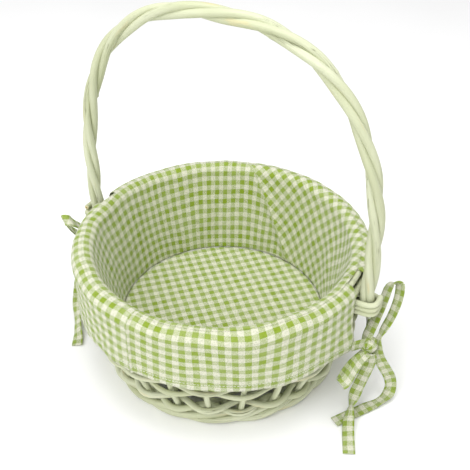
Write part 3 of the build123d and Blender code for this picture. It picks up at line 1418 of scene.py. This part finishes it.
@dataclass
class Tie:
    """One flat cloth tie along its route, with the direction of its width at marks on the way."""

    node: str
    route_mm: list[Point]
    widths: list[tuple[float, Point]]
    pinches: list[float]
    width: float = 10.0 * MM
    thickness: float = 0.9 * MM
    pinch_reach: float = 6.0 * MM
    pinch_share: float = 0.45
    pinch_cup: float = 1.2 * MM
    cup: float = 0.5 * MM
    least_z: float = 0.5 * MM
    check_shift: float = 1.3 * MM

    def spline_points(self) -> np.ndarray:
        """Points read from the route's smooth curve.

        Returns:
            The points, in metres.
        """
        curve = bpy.data.curves.new(f"{self.node}_route", "CURVE")
        curve.dimensions = "3D"
        spline = curve.splines.new("NURBS")
        spline.points.add(len(self.route_mm) - 1)
        for point, place_mm in zip(spline.points, self.route_mm):
            point.co = (*(c * MM for c in place_mm), 1.0)
        spline.order_u = 3
        spline.use_endpoint_u = True
        spline.resolution_u = 12
        holder = bpy.data.objects.new(curve.name, curve)
        mesh = bpy.data.meshes.new_from_object(holder)
        points = np.array([v.co[:] for v in mesh.vertices])
        bpy.data.objects.remove(holder)
        bpy.data.curves.remove(curve)
        bpy.data.meshes.remove(mesh)
        keep = np.concatenate([[True], np.linalg.norm(np.diff(points, axis=0), axis=1) > 1e-6])
        return points[keep]

    def build(self, on_it: list[bpy.types.Object]) -> bpy.types.Object:
        """Args:
            on_it: pieces that belong to it; not used.

        Returns:
            The piece.
        """
        line = self.spline_points()
        runs = np.linalg.norm(np.diff(line, axis=0), axis=1)
        along = np.concatenate([[0.0], np.cumsum(runs)])
        total = along[-1]
        ahead = np.gradient(line, axis=0)
        ahead /= np.linalg.norm(ahead, axis=1)[:, None]
        marks = np.array([share for share, _ in self.widths])
        wanted = np.array([direction for _, direction in self.widths], float)
        verts, flat = [], []
        cross = np.linspace(-1, 1, 9)
        for point, direction, s in zip(line, ahead, along):
            side = np.array([np.interp(s / total, marks, wanted[:, axis]) for axis in range(3)])
            side -= direction * np.dot(side, direction)
            side /= np.linalg.norm(side)
            face = np.cross(direction, side)
            pinch = sum(np.exp(-(((s - share * total) / self.pinch_reach) ** 2)) for share in self.pinches)
            half = self.width / 2 * (1 - self.pinch_share * min(pinch, 1.0))
            bend = self.cup + self.pinch_cup * min(pinch, 1.0)
            for c in cross:
                cup = bend * (c * c - 0.4) * (1 if s < total * 0.9 else 0.3)
                spot = point + side * half * c + face * cup
                spot[2] = max(spot[2], self.least_z)
                verts.append(tuple(spot))
                flat.append((half * c + self.check_shift, s, 0.0))
        mesh = cloth_mesh(f"{self.node}_gingham", verts, flat, len(cross), FINISHES.tie, flip=True)
        made = place(mesh.name, mesh, self.node)
        thicken(made, self.thickness)
        log.info("%s: %.0f mm long", self.node, total / MM)
        return made


@dataclass
class Bows:
    """The ties of both handle feet, and their knots."""

    knot_mm: Point = (142.0, -5.0, 60.0)
    knot_half: Point = (6.5, 6.5, 6.5)
    knot_fold: float = 0.07
    knot_crumple: float = 0.10
    knot_thickness: float = 0.8 * MM
    front_widths: list = field(default_factory=lambda: [
        (0.0, (0, 0, 1)), (0.06, (0, 0, 1)), (0.12, (-0.3, 0.1, 0.95)),
        (0.17, (-0.5, 0, 0.85)), (0.24, (-0.6, 0, 0.8)), (0.38, (-0.65, 0, 0.75)),
        (0.47, (-0.65, 0, 0.75)), (0.53, (-0.8, -0.2, 0.5)), (0.58, (-0.9, -0.4, 0.1)),
        (0.66, (-0.87, -0.5, 0)), (0.72, (-0.87, -0.5, -0.1)), (0.80, (-0.25, -0.2, -0.9)),
        (0.87, (-0.8, -0.35, -0.3)), (1.0, (-0.9, -0.45, 0)),
    ])
    back_widths: list = field(default_factory=lambda: [
        (0.0, (0, 0, 1)), (0.08, (0.4, 0, 1)), (0.14, (0.8, -0.1, 0.4)),
        (0.30, (0.74, -0.25, 0.60)), (0.52, (0.74, -0.25, 0.60)), (0.60, (0.9, 0.3, 0.1)),
        (0.70, (0.87, 0.5, 0.0)), (0.76, (0.75, 0.5, 0.4)), (0.83, (0.6, -0.5, 0.3)),
        (0.88, (0.8, -0.6, 0.0)), (1.0, (0.8, -0.6, 0)),
    ])

    def knot(self, side: int) -> bpy.types.Object:
        """The cloth wound round the crossing of two ties, pulled tight.

        Args:
            side: 1 for the right bow, -1 for the left.

        Returns:
            The knot.
        """
        turns = np.linspace(0, 2 * pi, 49)
        shares = np.linspace(-1, 1, 21)
        verts, flat = [], []
        for turn in turns:
            for share in shares:
                belly = (1 - abs(share) ** 2.6) ** 0.5 if abs(share) < 1 else 0.0
                crumple = noise.noise(Vector((2 * cos(turn), 2 * sin(turn), 2 * share)))
                fold = 1 + self.knot_fold * cos(3 * turn + 5 * share) + self.knot_crumple * crumple
                x = self.knot_half[0] * (0.01 + 0.99 * belly) * fold * cos(turn)
                z = self.knot_half[2] * (0.01 + 0.99 * belly) * fold * sin(turn)
                y = self.knot_half[1] * share + 0.15 * z
                place_mm = (self.knot_mm[0] + x, self.knot_mm[1] + y, self.knot_mm[2] + z)
                verts.append((side * place_mm[0] * MM, side * place_mm[1] * MM, place_mm[2] * MM))
                flat.append((share * 6 * MM + 2 * MM, turn * 7.5 * MM, 0.0))
        word = "right" if side > 0 else "left"
        mesh = cloth_mesh(f"bow_knot_{word}", verts, flat, len(shares), FINISHES.tie, flip=True)
        made = place(mesh.name, mesh, None)
        thicken(made, self.knot_thickness)
        return made

    def build(self) -> None:
        """Makes the four ties and the two knots."""
        back_left = half_turn(BACK_TIE_MM[:16]) + LEFT_TAIL_MM
        ties = [
            Tie("tie_front_right", FRONT_TIE_MM, self.front_widths, [0.11, 0.53]),
            Tie("tie_back_right", BACK_TIE_MM, self.back_widths, [0.10, 0.53]),
            Tie("tie_back_left", back_left, self.turned(self.back_widths), [0.10, 0.53]),
            Tie("tie_front_left", half_turn(FRONT_TIE_MM), self.turned(self.front_widths), [0.11, 0.53]),
        ]
        knots = {"right": self.knot(1), "left": self.knot(-1)}
        for tie in ties:
            on_it = [knots[tie.node.split("_")[-1]]] if tie.node.startswith("tie_front") else []
            tie.build(on_it)

    @staticmethod
    def turned(widths: list) -> list:
        """The same directions on the other side of the basket."""
        return [(share, half_turn([way])[0]) for share, way in widths]


# --------------------------------------------------------------------------- finishes in use


@dataclass
class FinishSet:
    """Each material, made once."""

    willow: bpy.types.Material
    cut_end: bpy.types.Material
    gingham: bpy.types.Material
    tie: bpy.types.Material
    thread: bpy.types.Material


FINISHES = FinishSet(
    WillowFinish().material(),
    CutEndFinish().material(),
    GinghamFinish("gingham_cotton").material(),
    GinghamFinish("tie_cotton", crease=0.5).material(),
    ThreadFinish().material(),
)


# --------------------------------------------------------------------------- studio


@dataclass
class Studio:
    """Camera, light and floor."""

    distance: float = 0.650
    azimuth: float = radians(29.6)
    height: float = radians(36.4)
    pivot: Point = (0.0, 0.0, 0.122)
    target: Point = (0.0099, 0.0050, 0.1211)
    lens: float = 57.8
    sensor: float = 36.0
    lit: Point = (0.0, 0.0, 0.1)
    sky: float = 0.66
    floor_half: float = 4.0
    floor_gap: float = 0.2 * MM
    lamps: tuple = (
        ("key", (-0.2, -1.2, 1.2), 0.8, 11.0),
        ("fill", (1.1, -1.0, 0.5), 1.4, 3.0),
        ("top", (0.1, -0.1, 1.5), 1.0, 13.0),
    )

    def camera(self) -> None:
        """Puts the camera in front, to the right and above, as in a catalogue view."""
        data = bpy.data.cameras.new("camera")
        data.lens = self.lens
        data.sensor_width = self.sensor
        data.dof.use_dof = False
        eye = Vector(self.pivot) + self.distance * Vector((
            sin(self.azimuth) * cos(self.height),
            -cos(self.azimuth) * cos(self.height),
            sin(self.height),
        ))
        made = bpy.data.objects.new("camera", data)
        made.location = eye
        made.rotation_euler = (Vector(self.target) - eye).to_track_quat("-Z", "Y").to_euler()
        bpy.context.scene.collection.objects.link(made)
        bpy.context.scene.camera = made

    def light(self, name: str, where: Point, size: float, power: float) -> None:
        """One large soft lamp aimed at the basket.

        Args:
            name: the lamp's name.
            where: its place.
            size: its side.
            power: its power, in watts.
        """
        data = bpy.data.lights.new(name, "AREA")
        data.energy = power
        data.size = size
        made = bpy.data.objects.new(name, data)
        made.location = where
        made.rotation_euler = (Vector(self.lit) - Vector(where)).to_track_quat("-Z", "Y").to_euler()
        bpy.context.scene.collection.objects.link(made)

    def floor(self) -> None:
        """A wide pale floor."""
        g = Graph("pale_floor")
        spot = g.node("ShaderNodeTexCoord").outputs["Object"]
        tone = g.ramp(g.noise(spot, 3.0, 2.0), 0.3, 0.7)
        g.surface(Base_Color=g.mix(tone, (0.93, 0.93, 0.93, 1), (0.96, 0.96, 0.96, 1)), Roughness=0.9)
        mesh = bpy.data.meshes.new("floor")
        side = self.floor_half
        corners = [(-side, -side, 0), (side, -side, 0), (side, side, 0), (-side, side, 0)]
        mesh.from_pydata(corners, [], [(0, 1, 2, 3)])
        mesh.materials.append(g.material)
        made = bpy.data.objects.new("floor", mesh)
        made.location.z = -self.floor_gap
        bpy.context.scene.collection.objects.link(made)

    def build(self) -> None:
        """Sets up the view."""
        bpy.context.scene.view_settings.view_transform = "Standard"
        self.camera()
        for lamp in self.lamps:
            self.light(*lamp)
        world = bpy.data.worlds.new("soft white")
        world.use_nodes = True
        back = world.node_tree.nodes["Background"]
        back.inputs["Color"].default_value = (1.0, 1.0, 1.0, 1.0)
        back.inputs["Strength"].default_value = self.sky
        bpy.context.scene.world = world
        self.floor()
        log.info("studio: camera, three lamps and floor")


def main() -> None:
    """Builds the basket."""
    logging.basicConfig(level=logging.INFO, format="%(name)s %(message)s")
    Studio().build()
    Bows().build()
    BaseWork().build()
    SideWork().build()
    RopedHandle().build()
    Liner().build()


if __name__ == "__main__":
    main()
